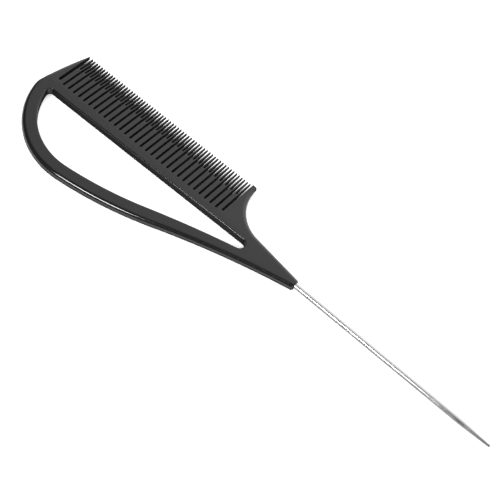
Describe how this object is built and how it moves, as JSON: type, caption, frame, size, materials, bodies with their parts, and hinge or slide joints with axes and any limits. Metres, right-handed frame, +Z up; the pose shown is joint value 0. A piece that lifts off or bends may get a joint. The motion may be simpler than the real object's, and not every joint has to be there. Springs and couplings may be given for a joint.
{
  "type": "rat tail comb",
  "caption": "Fine-tooth parting comb with an open finger loop for a handle and a long thin metal pin tail.",
  "frame": {"origin": "underside of the comb, under the middle of the whole object's length and width", "axes": "+X along the teeth towards the pin's tip, +Y from the loop towards the tooth tips, +Z up out of the flat side"},
  "size_m": [0.2238, 0.0522, 0.004],
  "materials": {
    "comb_plastic": "satin moulded",
    "pin_steel": "polished"
  },
  "bodies": {
    "root": {"comb_body": "comb_plastic", "tail_pin": "pin_steel"}
  },
  "joints": []
}
